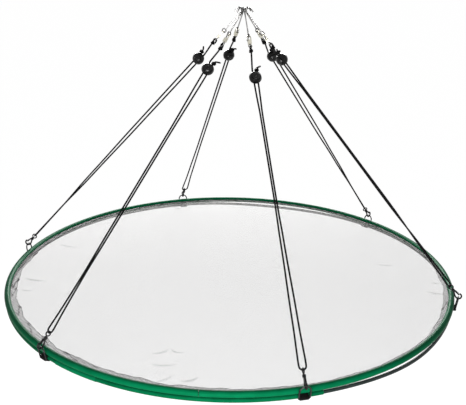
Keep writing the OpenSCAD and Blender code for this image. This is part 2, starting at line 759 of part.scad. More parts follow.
module lock_shell(i) {
    seam_r = ball_r + 0.25;
    color("black") at_lock(i) difference() {
        union() {
            intersection() {
                sphere(ball_r);
                translate([-ball_r, -ball_r, foot_z]) cube([ball_d, ball_d, rim_z - foot_z]);
            }
            translate([0, 0, -0.5]) cylinder(r = seam_r, h = 1);
        }
        translate([0, 0, well_z]) cylinder(r = well_r, h = ball_d);
        translate([0, 0, spring_floor]) cylinder(r = spring_r + 2 * snug, h = ball_d);
        cord_slot(-slot_h / 2, slot_h / 2);
    }
}

module lock_button(i) {
    color("dimgray") at_lock(i) difference() {
        intersection() {
            sphere(ball_r - 0.2);
            translate([0, 0, button_floor]) cylinder(r = button_r, h = ball_d);
        }
        cord_slot(-pinch_z, button_slot_top);
        for (r = [2.4, 4.4])
            translate([0, 0, ball_r]) rotate_extrude() translate([r, 0]) circle(0.8 + r / 8);
    }
}

// The spring's outer envelope, a plain tube
module lock_spring(i) {
    color("silver") at_lock(i) translate([0, 0, spring_floor + running]) difference() {
        cylinder(r = spring_r, h = button_floor - spring_floor - 2 * running);
        translate([0, 0, -1]) cylinder(r = spring_r - spring_wire, h = ball_d);
    }
}

echo(least_cord_gap = min([for (s = cord_stations, p = s) p[1]]) - cord_d);

rim_rod();
rim_cover_long();
rim_cover_short();
lower_rod();
lower_sleeves();
lower_joint_sleeve();
net();
net_hem();
webbing_tabs();
d_rings();
wire_hooks();
upper_clasp_bodies();
upper_gate_springs();
upper_swivel_eyes();
lower_swivel_eyes();
cord_knots();
for (i = strands) {
    cord(i);
    lock_shell(i);
    lock_button(i);
    lock_spring(i);
    upper_gate(i);
    lower_gate(i);
    lower_clasp(i);
}
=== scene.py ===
import math
import bpy
import numpy as np
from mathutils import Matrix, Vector


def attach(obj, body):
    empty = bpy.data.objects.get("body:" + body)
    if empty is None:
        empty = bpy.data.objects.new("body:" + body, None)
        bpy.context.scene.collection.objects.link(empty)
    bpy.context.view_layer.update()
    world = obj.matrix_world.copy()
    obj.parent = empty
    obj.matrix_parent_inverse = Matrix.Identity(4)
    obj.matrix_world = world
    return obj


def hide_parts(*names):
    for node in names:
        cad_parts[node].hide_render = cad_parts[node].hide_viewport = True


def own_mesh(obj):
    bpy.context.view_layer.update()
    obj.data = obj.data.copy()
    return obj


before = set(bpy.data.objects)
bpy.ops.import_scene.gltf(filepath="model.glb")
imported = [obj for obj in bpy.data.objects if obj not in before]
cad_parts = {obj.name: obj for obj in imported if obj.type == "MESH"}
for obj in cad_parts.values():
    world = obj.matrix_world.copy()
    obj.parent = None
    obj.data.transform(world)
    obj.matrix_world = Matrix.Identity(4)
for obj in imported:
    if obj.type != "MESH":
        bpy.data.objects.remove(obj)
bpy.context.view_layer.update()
ROOT = "tray_and_strands"
MM = 0.001

# ---- Camera, at the photograph's angle ----

IMAGE_W, FOCAL_PX, SENSOR = 466, 857.8, 36.0
YAW, PITCH, ROLL = (math.radians(v) for v in (0.16, 20.37, 0.79))
CAMERA_PLACE, FAR_CLIP = (-0.017, -1.3581, 0.182), 100


def add_camera():
    ahead = Vector((math.sin(YAW) * math.cos(PITCH), math.cos(YAW) * math.cos(PITCH), -math.sin(PITCH)))
    level = Vector((math.cos(YAW), -math.sin(YAW), 0))
    upward = level.cross(ahead)
    right = level * math.cos(ROLL) + upward * math.sin(ROLL)
    up = upward * math.cos(ROLL) - level * math.sin(ROLL)
    data = bpy.data.cameras.new("camera")
    data.sensor_width = SENSOR
    data.lens = FOCAL_PX / IMAGE_W * SENSOR
    data.clip_end = FAR_CLIP
    cam = bpy.data.objects.new("camera", data)
    bpy.context.scene.collection.objects.link(cam)
    m = cam.matrix_world
    for k in range(3):
        m[k][0], m[k][1], m[k][2] = right[k], up[k], -ahead[k]
    cam.matrix_world = m
    cam.location = CAMERA_PLACE
    bpy.context.scene.camera = cam


add_camera()

# ---- Sizes and routes, as in the part's source, in millimetres and degrees ----

SNUG, LOOSE = 0.1, 0.3
HOOP_R, HANG, SHIFT = 376.0, 455.0, 17.0
COVER_R, RIM_ROD_R = 5.0, 2.0
TAB_ANGLES = [-15, 43.5, 105.5, 165, 225.5, 285.5]

# Lower hoop. A bow is the bearings that it lies between, and its depth.
LOWER_Z, BARE_RISE, ROD_R, SLEEVE_R = -9.2, 1.2, 2.8, 3.6
SLEEVED = (190, 290)
BOWS = [(290, 345, 6.0), (43.5, 105.5, 3.0)]
JOINT_AT, RISE_FROM, RISE_OVER, ROD_END_ANGLE = 235, 57, 20, 0.1

# D rings and webbing
RING_WIRE_R, RING_H, RING_LEAN = 1.1, 20.8, 10
BAR_OUT, BAR_Z = 6.8, LOWER_Z - 1
TOP_OUT = BAR_OUT + RING_H * math.sin(math.radians(RING_LEAN))
TOP_Z = BAR_Z + RING_H * math.cos(math.radians(RING_LEAN))
WEB_W, WEB_T = 13, 1

# Net and hem. A hem share is a bearing, and the hem's width there as a share of the greatest.
NET_EDGE = HOOP_R - RIM_ROD_R - WEB_T - 2 * SNUG
NET_SAG, NET_T, CREASE_H, CREASE_FROM = 3.0, 0.5, 0.8, 0.6
HEM_W, HEM_T, HEM_RUFFLE = 10, 0.3, 2.2
HEM_Z = NET_T / 2 + SNUG
HEM_SHARES = [(0, 0.75), (12, 0.5), (25, 0.35), (60, 0.35), (130, 0.4), (150, 0.6), (166, 1), (222, 1),
              (232, 0.8), (245, 0.65), (258, 0.4), (280, 0.3), (295, 0.25), (325, 0.3), (336, 0.7),
              (360, 0.75)]

# Upper clasps' eyes, cords, knots and locks, by their distance down the strand
UPPER_AT, UPPER_EYE_DROP, UPPER_EYE_R = 50.9, 15.8, 2.5
EYE_WRAP_AT, EYE_WRAP_R = UPPER_AT + UPPER_EYE_DROP + UPPER_EYE_R, 2.2
LEAVE_EYE, LEAVE_EYE_OUT = 2, 1.7
KNOT_AT, KNOT_HALF = EYE_WRAP_AT + 6.2, 2.3
CORD_R, CORD_GAP, LOOP_R = 1.3, 6.2, 5.2
BALL_R = 9.5
LOCK_AT = [98, 108, 115, 111, 114, 121]
# The cord's last places above a lock's middle on its way down and on its way up, and its first below
ABOVE_DOWN, ABOVE_UP, ARM_START = 10, 8, 10
ARM_RINGS, LOOP_RINGS = 18, 8
STOPPER_AT, STOPPER_OUT = BALL_R + KNOT_HALF + LOOSE, CORD_GAP / 2 + 0.5
LOWER_EYE_AT, LOWER_EYE_R, LOWER_EYE_WIRE_R = 21.5, 3.75, 1.0

# The cords' tails: each one's side of the lock, turn and length; up and out from the knot, at the tail's
# root and for each millimetre of its length
TAIL_SIDE = [1, 1, 1, -1, 1, 1]
TAIL_TURN = [30, -20, 35, 50, 15, 25]
TAIL_LEN = [6, 7, 6, 8, 9, 7]
TAIL_ROOT, TAIL_LEAN = (1.4, 0.9), (0.4, 0.9)

# Cord routes below the locks: share of the way down, spacing of the two cords, turn of the pair
STATIONS = [
    [(0, 6.2, 125), (0.12, 3.4, 125), (0.4, 3.2, 125), (0.6, 4, 125), (0.85, 5, 190), (1, 10.4, 190)],
    [(0, 6.2, 130), (0.4, 5.6, 130), (0.6, 3.2, 130), (0.85, 3.4, 210), (1, 10.4, 210)],
    [(0, 6.2, 165), (0.6, 6.4, 165), (0.85, 7.4, 180), (1, 10.4, 180)],
    [(0, 6.2, -80), (0.35, 5.4, -80), (0.6, 3.6, -80), (0.85, 3.4, 0), (1, 10.4, 0)],
    [(0, 6.2, -45), (0.25, 3.4, -45), (0.6, 3.2, -45), (0.78, 3.4, 0), (0.9, 5.6, 0), (1, 10.4, 0)],
    [(0, 6.2, 0), (0.14, 3.4, 0), (0.45, 3.2, 0), (0.6, 5, 0), (0.85, 8, 0), (1, 10.4, 0)],
]


def cosd(a):
    return math.cos(math.radians(a))


def sind(a):
    return math.sin(math.radians(a))


def ease(t):
    return (1 - math.cos(math.pi * t)) / 2


class Strand:
    """The frame of one strand: down it, along the rim, and away from the hoops' axis."""

    def __init__(self, k):
        self.k, self.number = k, k + 1
        a, reach = TAB_ANGLES[k], HOOP_R + TOP_OUT
        end = Vector((reach * cosd(a) - SHIFT, reach * sind(a), TOP_Z - HANG))
        self.length = end.length
        self.down = end.normalized()
        self.side = Vector((-end.y, end.x, 0)).normalized()
        self.away = self.down.cross(self.side)
        self.turn, self.eye_turn = STATIONS[k][0][2], STATIONS[k][-1][2]

    def at(self, x, y=0.0, z=0.0):
        return (self.down * x + self.side * y + self.away * z) * MM

    def place(self, points):
        return [self.at(*p) for p in points]


STRANDS = [Strand(k) for k in range(len(TAB_ANGLES))]


def beside(x, offset, turn):
    """A place in a strand's frame, x down it and off its line at a turn."""
    return Vector((x, offset * cosd(turn), offset * sind(turn)))


def station(k, f, column):
    """The spacing (column 1) or the turn (column 2) of a strand's two cords at a share of their way."""
    s = STATIONS[k]
    j = max(n for n in range(len(s) - 1) if f >= s[n][0])
    t = ease((f - s[j][0]) / (s[j + 1][0] - s[j][0]))
    return s[j][column] + t * (s[j + 1][column] - s[j][column])


def cord_path(strand):
    """The cord's route in its strand's frame, as in the part's source."""
    k, turn, side = strand.k, strand.turn, TAIL_SIDE[strand.k]
    half, out = side * CORD_GAP / 2, side * STOPPER_OUT
    loop_at = strand.length - LOWER_EYE_AT - LOWER_EYE_R + LOWER_EYE_WIRE_R + CORD_R + SNUG - LOOP_R
    start, stop = LOCK_AT[k] + ARM_START, LOCK_AT[k] - STOPPER_AT
    arm = [(start + f * (loop_at - start), station(k, f, 1) / 2, station(k, f, 2))
           for f in np.linspace(0, 1, ARM_RINGS + 1)]
    # From the upper knot, round the upper clasp's eye and back through the knot
    path = [Vector((KNOT_AT - KNOT_HALF - 2 * SNUG, 0, -2 * CORD_R - 2 * SNUG))]
    path += [Vector((EYE_WRAP_AT - EYE_WRAP_R * cosd(t), 0, EYE_WRAP_R * sind(t)))
             for t in range(-90, 91, 45)]
    path += [Vector((EYE_WRAP_AT + LEAVE_EYE, 0, LEAVE_EYE_OUT))]
    path += [Vector((KNOT_AT - KNOT_HALF, 0, SNUG)), Vector((KNOT_AT + KNOT_HALF, 0, 0))]
    # Through the lock, round the lower clasp's eye, and up through the lock and the stopper knot
    path += [beside(LOCK_AT[k] - ABOVE_DOWN, -half, turn)]
    path += [beside(x, -side * h, a) for x, h, a in arm]
    path += [beside(loop_at + LOOP_R * sind(a), -side * LOOP_R * cosd(a), strand.eye_turn)
             for a in (180 * j / LOOP_RINGS for j in range(1, LOOP_RINGS))]
    path += [beside(x, side * h, a) for x, h, a in reversed(arm)]
    path += [beside(LOCK_AT[k] - ABOVE_UP, half, turn)]
    path += [beside(stop + KNOT_HALF, out, turn), beside(stop - KNOT_HALF, out, turn)]
    tail = turn + (180 if side < 0 else 0) + TAIL_TURN[k]
    for up, off in (TAIL_ROOT, (TAIL_LEAN[0] * TAIL_LEN[k], TAIL_LEAN[1] * TAIL_LEN[k])):
        path.append(beside(stop - KNOT_HALF - up, out, turn) + beside(0, off, tail))
    return path


# ---- Meshes ----

TINY = 1e-9
# A tube's rounded end: how far each ring lies beyond it, and its size, as shares of the tube's radius
ROUND_END = [(0.98, 0.2), (0.8, 0.6), (0.45, 0.9)]


def new_object(name, data, mat, body=ROOT):
    o = bpy.data.objects.new(name, data)
    bpy.context.scene.collection.objects.link(o)
    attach(o, body)
    o.data.materials.append(mat)
    return o


def smoothed(points, step):
    """The points again on one smooth curve, about step apart."""
    p = [Vector(q) for q in points]
    p = [2 * p[0] - p[1]] + p + [2 * p[-1] - p[-2]]
    out = []
    for a, b, c, d in zip(p, p[1:], p[2:], p[3:]):
        ta, tb, td = ((end - start).length ** 0.5 + TINY for start, end in ((a, b), (b, c), (c, d)))
        m1 = (b - a) / ta - (c - a) / (ta + tb) + (c - b) / tb
        m2 = (c - b) / tb - (d - b) / (tb + td) + (d - c) / td
        m1, m2 = m1 * tb, m2 * tb
        n = max(1, round((c - b).length / step))
        for j in range(n):
            t = j / n
            out.append((2 * t**3 - 3 * t**2 + 1) * b + (t**3 - 2 * t**2 + t) * m1
                       + (3 * t**2 - 2 * t**3) * c + (t**3 - t**2) * m2)
    return out + [p[-2]]


def frames(points, closed=False):
    """Two directions square to the line at each point, carried along it without twist."""
    n = len(points)
    before = [points[k - 1] if closed or k else points[0] for k in range(n)]
    after = [points[(k + 1) % n] if closed or k < n - 1 else points[-1] for k in range(n)]
    lines = [(b - a).normalized() for a, b in zip(before, after)]
    u = lines[0].orthogonal().normalized()
    out = []
    for t in lines:
        u = (u - u.dot(t) * t).normalized()
        out.append((u, t.cross(u)))
    return out


def run_lengths(points):
    """How far along a line of points each of them lies."""
    out = [0.0]
    for a, b in zip(points, points[1:]):
        out.append(out[-1] + (b - a).length)
    return out


def skin_mesh(name, rings, closed=False, lengths=None, across=None):
    """A mesh over rings of points. UV's v is the length along it in metres, and u goes from 0 to 1 once
    round each ring, or as across says."""
    n, m = len(rings), len(rings[0])
    us = [j / m for j in range(m + 1)] if across is None else list(across) + [across[0]]
    lengths = lengths or run_lengths([ring[0] for ring in rings])
    total = lengths[-1] + ((rings[0][0] - rings[-1][0]).length if closed else 0)
    faces, uvs = [], []
    for k in range(n if closed else n - 1):
        k2 = (k + 1) % n
        v1, v2 = lengths[k], lengths[k2] if k2 else total
        for j in range(m):
            j2 = (j + 1) % m
            faces.append((k * m + j, k * m + j2, k2 * m + j2, k2 * m + j))
            uvs += [(us[j], v1), (us[j + 1], v1), (us[j + 1], v2), (us[j], v2)]
    if not closed:
        faces += [tuple(range(m))[::-1], tuple((n - 1) * m + j for j in range(m))]
        uvs += [(0, 0)] * (2 * m)
    mesh = bpy.data.meshes.new(name)
    mesh.from_pydata([tuple(p) for ring in rings for p in ring], [], faces)
    layer = mesh.uv_layers.new(name="UVMap")
    layer.data.foreach_set("uv", np.array(uvs, np.float32).ravel())
    mesh.polygons.foreach_set("use_smooth", [len(f) == 4 for f in faces])
    mesh.update()
    return mesh


def tube_mesh(name, points, radius, sides, closed=False, round_ends=False):
    """A round tube along points."""
    radii = [radius] * len(points)
    if round_ends:
        head, tail = (points[0] - points[1]).normalized(), (points[-1] - points[-2]).normalized()
        first = [points[0] + head * radius * beyond for beyond, _ in ROUND_END]
        last = [points[-1] + tail * radius * beyond for beyond, _ in ROUND_END[::-1]]
        small = [radius * size for _, size in ROUND_END]
        points, radii = first + list(points) + last, small + radii + small[::-1]
    turns = [2 * math.pi * j / sides for j in range(sides)]
    rings = []
    for p, (u, w), r in zip(points, frames(points, closed), radii):
        rings.append([p + r * (u * math.cos(t) + w * math.sin(t)) for t in turns])
    return skin_mesh(name, rings, closed, run_lengths(points))


# ---- Materials ----

# How a surface varies: the detail and roughness of its colour's noise, where that noise is dark and light,
# how much finer its gloss varies and with what detail, and the shares of the roughness, each with its place
PLASTIC = dict(detail=4, jag=0.5, dark_at=0.3, light_at=0.72, finer=14, fine_detail=2,
               gloss=[(0.2, 0.85), (0.8, 1.2)])
METAL = dict(detail=5, jag=0.6, dark_at=0.3, light_at=0.7, finer=9, fine_detail=3,
             gloss=[(0.25, 0.7), (0.75, 1.3)])
WOVEN_SPEC = 0.06
# The net: pitch of its threads in metres, how softly they end as a share of the pitch, relief and roughness
NET_PITCH, THREAD_SOFT, NET_RELIEF, NET_ROUGH = 0.0011, 0.04, 0.0001, 0.8
# Its crumples: scale, detail and roughness of their noise, and how much relief they add
CRUMPLE, CRUMPLE_RELIEF = (140, 5, 0.65), 0.5
# How much painted shade a fold puts on the net, and how far it closes the holes
FOLD_PAINTED_SHADE, FOLD_COVER = 0.8, 0.7
# Dark crossing lines on the hem: their turn, pitch in metres, and width as a share of the pitch
HATCH = (50, 0.0042, 0.3)
# Where their ramps reach each colour
YARN_DARK_AT, YARN_LIGHT_AT, NET_PALE_AT, NET_DARK_AT = 0.1, 0.8, 0.1, 0.75


def material(name):
    m = bpy.data.materials.new(name)
    m.use_nodes = True
    nodes, links = m.node_tree.nodes, m.node_tree.links
    return m, nodes, links, nodes["Principled BSDF"]


def place_on_object(nodes):
    return nodes.new("ShaderNodeTexCoord").outputs["Object"]


def maths(nodes, links, operation, *values):
    """A Math node over values, each a number or a socket."""
    n = nodes.new("ShaderNodeMath")
    n.operation = operation
    for k, v in enumerate(values):
        if isinstance(v, (int, float)):
            n.inputs[k].default_value = v
        else:
            links.new(v, n.inputs[k])
    return n.outputs[0]


def ramp(nodes, links, source, stops):
    n = nodes.new("ShaderNodeValToRGB")
    e = n.color_ramp.elements
    while len(e) < len(stops):
        e.new(0.5)
    for k, (at, color) in enumerate(stops):
        e[k].position = at
        e[k].color = (*color, 1)
    links.new(source, n.inputs[0])
    return n.outputs[0]


def noise(nodes, links, scale, detail, rough=0.5, vector=None):
    n = nodes.new("ShaderNodeTexNoise")
    n.inputs["Scale"].default_value = scale
    n.inputs["Detail"].default_value = detail
    n.inputs["Roughness"].default_value = rough
    links.new(vector or place_on_object(nodes), n.inputs["Vector"])
    return n.outputs[0]


def bump(nodes, links, height, shader, distance):
    n = nodes.new("ShaderNodeBump")
    n.inputs["Distance"].default_value = distance
    links.new(height, n.inputs["Height"])
    links.new(n.outputs[0], shader.inputs["Normal"])


def banded(nodes, links, color, bands):
    """The colour times a share that goes by the distance from the strands' meeting place, in metres."""
    reach = nodes.new("ShaderNodeVectorMath")
    reach.operation = "LENGTH"
    links.new(place_on_object(nodes), reach.inputs[0])
    last = bands[-1][0]
    scaled = maths(nodes, links, "DIVIDE", reach.outputs["Value"], last)
    share = ramp(nodes, links, scaled, [(at / last, (level,) * 3) for at, level in bands])
    mix = nodes.new("ShaderNodeMix")
    mix.data_type = "RGBA"
    mix.blend_type = "MULTIPLY"
    mix.inputs["Factor"].default_value = 1
    links.new(color, mix.inputs["A"])
    links.new(share, mix.inputs["B"])
    return mix.outputs["Result"]


def solid(name, kind, dark, light, rough, scale, relief, metallic=0.0, spec=0.5, tint=(1, 1, 1), bands=None):
    """A surface between two colours, whose gloss and fine relief vary as its kind's do."""
    m, nodes, links, s = material(name)
    field = noise(nodes, links, scale, kind["detail"], kind["jag"])
    color = ramp(nodes, links, field, [(kind["dark_at"], dark), (kind["light_at"], light)])
    if bands:
        color = banded(nodes, links, color, bands)
    links.new(color, s.inputs["Base Color"])
    fine = noise(nodes, links, scale * kind["finer"], kind["fine_detail"])
    levels = [(at, (min(1, rough * factor),) * 3) for at, factor in kind["gloss"]]
    links.new(ramp(nodes, links, fine, levels), s.inputs["Roughness"])
    bump(nodes, links, fine, s, relief)
    s.inputs["Metallic"].default_value = metallic
    s.inputs["Specular IOR Level"].default_value = spec
    s.inputs["Specular Tint"].default_value = (*tint, 1)
    return m


def plastic(name, dark, light, rough, scale=60, relief=0.00004, **look):
    return solid(name, PLASTIC, dark, light, rough, scale, relief, **look)


def metal(name, dark, light, rough, scale=90, relief=0.00003, metallic=1.0, **look):
    return solid(name, METAL, dark, light, rough, scale, relief, metallic, **look)


def uv_waves(nodes, links, round_pitch, along_pitch):
    """Sines of the sum and the difference of UV's two directions, each with its own pitch."""
    split = nodes.new("ShaderNodeSeparateXYZ")
    links.new(nodes.new("ShaderNodeUVMap").outputs[0], split.inputs[0])
    u = maths(nodes, links, "MULTIPLY", split.outputs[0], 2 * math.pi / round_pitch)
    v = maths(nodes, links, "MULTIPLY", split.outputs[1], 2 * math.pi / along_pitch)
    return [maths(nodes, links, "SINE", maths(nodes, links, sign, u, v)) for sign in ("ADD", "SUBTRACT")]


def woven(name, dark, light, rough, pitches, relief):
    """Crossing yarns over a piece's own UV: braid round a cord, or the weave of webbing."""
    m, nodes, links, s = material(name)
    one, two = uv_waves(nodes, links, *pitches)
    weave = maths(nodes, links, "MULTIPLY", one, two)
    height = maths(nodes, links, "ADD", maths(nodes, links, "MULTIPLY", weave, 0.5), 0.5)
    color = ramp(nodes, links, height, [(YARN_DARK_AT, dark), (YARN_LIGHT_AT, light)])
    links.new(color, s.inputs["Base Color"])
    s.inputs["Roughness"].default_value = rough
    s.inputs["Specular IOR Level"].default_value = WOVEN_SPEC
    bump(nodes, links, height, s, relief)
    return m


def turned(nodes, links, angle):
    """Object coordinates turned about Z, as separate X, Y, Z."""
    turn = nodes.new("ShaderNodeVectorRotate")
    turn.rotation_type = "Z_AXIS"
    turn.inputs["Angle"].default_value = math.radians(angle)
    links.new(place_on_object(nodes), turn.inputs["Vector"])
    split = nodes.new("ShaderNodeSeparateXYZ")
    links.new(turn.outputs[0], split.inputs[0])
    return split.outputs


def mesh_layer(nodes, links, angle, pitch, share):
    """1 on the threads of a square mesh and 0 in its holes; the threads take a share of the pitch."""
    xyz = turned(nodes, links, angle)
    rows = []
    for axis in (0, 1):
        across = maths(nodes, links, "PINGPONG", maths(nodes, links, "DIVIDE", xyz[axis], pitch), 0.5)
        edge = nodes.new("ShaderNodeMapRange")
        edge.inputs["From Min"].default_value = share / 2 + THREAD_SOFT
        edge.inputs["From Max"].default_value = share / 2 - THREAD_SOFT
        links.new(across, edge.inputs["Value"])
        rows.append(edge.outputs[0])
    return maths(nodes, links, "MAXIMUM", *rows)


def stretched(nodes, links, factors):
    """Object coordinates, each direction multiplied by its own factor."""
    scale = nodes.new("ShaderNodeVectorMath")
    scale.operation = "MULTIPLY"
    links.new(place_on_object(nodes), scale.inputs[0])
    scale.inputs[1].default_value = factors
    return scale.outputs["Vector"]


def net_material(name, thread, dark, layers, share=0.2, mottle=0.3, streak=0.25, hatch=0.0):
    """Fine net: one or more layers of square mesh, open between the threads. Where it is folded it is closer,
    and darker by painted shade; it is also darker by a mottle, which streaks along X, and by a hatch."""
    m, nodes, links, s = material(name)
    cover, *others = [mesh_layer(nodes, links, angle, NET_PITCH, share) for angle in layers]
    for other in others:
        cover = maths(nodes, links, "MAXIMUM", cover, other)
    attribute = nodes.new("ShaderNodeAttribute")
    attribute.attribute_name = "fold_shade"
    fold_shade = attribute.outputs["Fac"]
    crumple = noise(nodes, links, *CRUMPLE, vector=stretched(nodes, links, (streak, 1, 1)))
    # The fold value darkens the tone as painted shade in the folds and bunches
    tone = maths(nodes, links, "ADD", maths(nodes, links, "MULTIPLY", crumple, mottle),
                 maths(nodes, links, "MULTIPLY", fold_shade, FOLD_PAINTED_SHADE))
    if hatch:
        crossing = maths(nodes, links, "MULTIPLY", mesh_layer(nodes, links, *HATCH), hatch)
        tone = maths(nodes, links, "ADD", tone, crossing)
    color = ramp(nodes, links, tone, [(NET_PALE_AT, thread), (NET_DARK_AT, dark)])
    links.new(color, s.inputs["Base Color"])
    closed = maths(nodes, links, "MULTIPLY", fold_shade, FOLD_COVER)
    links.new(maths(nodes, links, "MAXIMUM", cover, closed), s.inputs["Alpha"])
    s.inputs["Roughness"].default_value = NET_ROUGH
    s.inputs["Specular IOR Level"].default_value = 0
    relief = maths(nodes, links, "MULTIPLY", crumple, CRUMPLE_RELIEF)
    bump(nodes, links, maths(nodes, links, "ADD", cover, relief), s, NET_RELIEF)
    return m


GREEN_LOOK = dict(scale=45, spec=0.03, tint=(0.05, 1, 0.42))
GREEN = plastic("rim_tube_green", (0.0006, 0.075, 0.028), (0.001, 0.102, 0.039), 0.4, **GREEN_LOOK)
GREEN_SLEEVE = plastic("sleeve_green", (0.0006, 0.06, 0.022), (0.001, 0.082, 0.031), 0.42, **GREEN_LOOK)
GREEN_JOINT = plastic("joint_sleeve_green", (0.001, 0.09, 0.035), (0.002, 0.12, 0.048), 0.4, **GREEN_LOOK)
ROD = metal("lower_rod_paint", (0.004, 0.009, 0.008), (0.012, 0.02, 0.018), 0.4, 40, metallic=0.0, spec=0.2)
# Painted dark reflection on the hooks' wire where it is curled, at both its ends
CURL_PAINTED_DARK_REFLECTION = [(0, 0.2), (0.011, 0.25), (0.016, 1), (0.04, 1), (0.044, 0.25), (0.06, 0.25)]
STEEL = metal("bright_wire", (0.22, 0.22, 0.215), (0.5, 0.49, 0.48), 0.24, bands=CURL_PAINTED_DARK_REFLECTION)
NICKEL = metal("nickel_plate", (0.46, 0.44, 0.37), (0.66, 0.64, 0.54), 0.24)
# Nickel darkened as painted dark reflection, for the upper swivel eyes and gates
NICKEL_PAINTED_DARK = metal("nickel_painted_dark_reflection", (0.09, 0.09, 0.088), (0.27, 0.265, 0.25), 0.3)
SPRING = metal("spring_steel", (0.3, 0.3, 0.31), (0.5, 0.5, 0.5), 0.35)
DARK_STEEL = metal("dark_rod_steel", (0.02, 0.02, 0.02), (0.06, 0.06, 0.06), 0.5)
BLACK_METAL = metal("black_coated_metal", (0.002, 0.002, 0.0025), (0.007, 0.007, 0.0075), 0.35,
                    metallic=0.0, spec=0.1)
RING_METAL = metal("ring_metal", (0.003, 0.003, 0.0035), (0.012, 0.012, 0.013), 0.3, metallic=0.0, spec=0.2)
CORD = woven("braided_cord", (0.0004, 0.0004, 0.0005), (0.003, 0.003, 0.0034), 0.55, (1 / 6, 0.0028), 0.00018)
LOCK = plastic("lock_plastic", (0.001, 0.001, 0.0012), (0.003, 0.003, 0.0032), 0.22, 120, 0.00002, spec=0.16)
BUTTON = plastic("button_plastic", (0.002, 0.002, 0.0022), (0.005, 0.005, 0.0052), 0.26, 120, 0.00003,
                 spec=0.2)
WEBBING = woven("woven_webbing", (0.001, 0.001, 0.001), (0.006, 0.0055, 0.0055), 0.6, (0.0018, 0.0021),
                0.0002)
THREAD = woven("sewing_thread", (0.006, 0.006, 0.006), (0.03, 0.03, 0.03), 0.6, (1 / 3, 0.0006), 0.00006)
NET = net_material("pale_net", (0.62, 0.61, 0.6), (0.3, 0.3, 0.3), (9,))
HEM = net_material("net_hem_cloth", (0.95, 0.92, 0.93), (0.04, 0.032, 0.035), (9, -14), share=0.1, streak=1,
                   hatch=0.45)
HEM_EDGE = net_material("hem_edge_thread", (0.7, 0.69, 0.69), (0.08, 0.075, 0.08), (9, 40), share=0.6,
                        mottle=0.2, streak=1)


def dress(name, mat):
    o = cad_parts[name]
    o.data.materials.clear()
    o.data.materials.append(mat)


for name, mat in {
    "rim_rod": DARK_STEEL, "rim_cover_long": GREEN, "rim_cover_short": GREEN, "lower_sleeves": GREEN_SLEEVE,
    "lower_joint_sleeve": GREEN_JOINT, "d_rings": RING_METAL, "wire_hooks": STEEL,
    "upper_clasp_bodies": NICKEL, "upper_gate_springs": SPRING, "upper_swivel_eyes": NICKEL_PAINTED_DARK,
    "lower_swivel_eyes": BLACK_METAL,
}.items():
    dress(name, mat)
for strand in STRANDS:
    for name, mat in {"lock_shell": LOCK, "lock_button": BUTTON, "upper_gate": NICKEL_PAINTED_DARK,
                      "lower_clasp": BLACK_METAL, "lower_gate": BLACK_METAL}.items():
        dress(f"{name}_{strand.number}", mat)

# ---- Lower hoop ----

HUB = Vector((-SHIFT, 0, -HANG)) * MM
ROD_STEPS, ROD_SIDES = 360, 20


def on_hoop(radius, bearing, z):
    return HUB + Vector((radius * cosd(bearing), radius * sind(bearing), z)) * MM


def lower_at(bearing):
    """How high the lower hoop's middle lies at a bearing."""
    off = abs((bearing - JOINT_AT + 540) % 360 - 180)
    z = LOWER_Z + BARE_RISE * ease(min(1, max(0, (off - RISE_FROM) / RISE_OVER)))
    b = bearing % 360
    for low, high, bow in BOWS:
        if low < b < high:
            z -= bow * sind(180 * (b - low) / (high - low)) ** 2
    return z


def rod_line():
    """Once round the lower hoop, from one end of the rod to the other."""
    span = 360 - 2 * ROD_END_ANGLE
    bearings = [JOINT_AT + ROD_END_ANGLE + j * span / ROD_STEPS for j in range(ROD_STEPS + 1)]
    return [on_hoop(HOOP_R, b, lower_at(b)) for b in bearings]


rod = new_object("lower_hoop_rod", tube_mesh("lower_hoop_rod", rod_line(), ROD_R * MM, ROD_SIDES), ROD)
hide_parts("lower_rod")

# ---- Net ----

NET_SECTORS = 720
NET_RADII = np.concatenate([np.linspace(0.05, 0.58, 12), np.linspace(0.6, 1, 100)])
CREASE_WAVES = [(1, 7, 20), (1, 11, 0), (1, 18, 70)]
# Soft folds in the net: each goes from one place to another, as a share of the radius and a bearing, and
# then has a depth from 0 to 1. They lie beyond FOLD_FROM, bend by FOLD_BOW, reach FOLD_HALF to each side
# and stand up by FOLD_H.
FOLDS = [
    (0.95, 184, 0.835, 186.2, 0.9), (0.93, 158.8, 0.81, 158.7, 0.5), (0.955, 190.8, 0.89, 192.9, 0.35),
    (0.786, 247.6, 0.725, 251.4, 0.7), (0.725, 251.4, 0.74, 256.5, 0.55), (0.86, 249.5, 0.83, 256.5, 0.6),
    (0.975, 253.5, 0.9, 257, 0.5), (0.945, 259, 0.9, 263, 0.9), (0.9, 350.4, 0.985, 349.2, 0.7),
    (0.93, 356.8, 0.975, 355.6, 0.5), (0.71, 11.6, 0.81, 9.6, 0.3), (0.96, 110.6, 0.89, 107.4, 0.5),
]
FOLD_FROM, FOLD_BOW, FOLD_HALF, FOLD_H = 0.59, 5, 3, 1.2


def waves(a, parts, base=0):
    """A sum of waves round the hoop, each a height, how many there are in the round, and a shift."""
    total = base
    for height, count, shift in parts:
        total += height * cosd(count * a + shift)
    return total


def net_height(f, a):
    """How high the net lies at a share of its radius and a bearing, without its folds."""
    swell = 0 if f < CREASE_FROM else sind(180 * (f - CREASE_FROM) / (1 - CREASE_FROM)) ** 2
    return -NET_SAG * (1 - f * f) + CREASE_H * swell * (waves(a, CREASE_WAVES) / len(CREASE_WAVES))


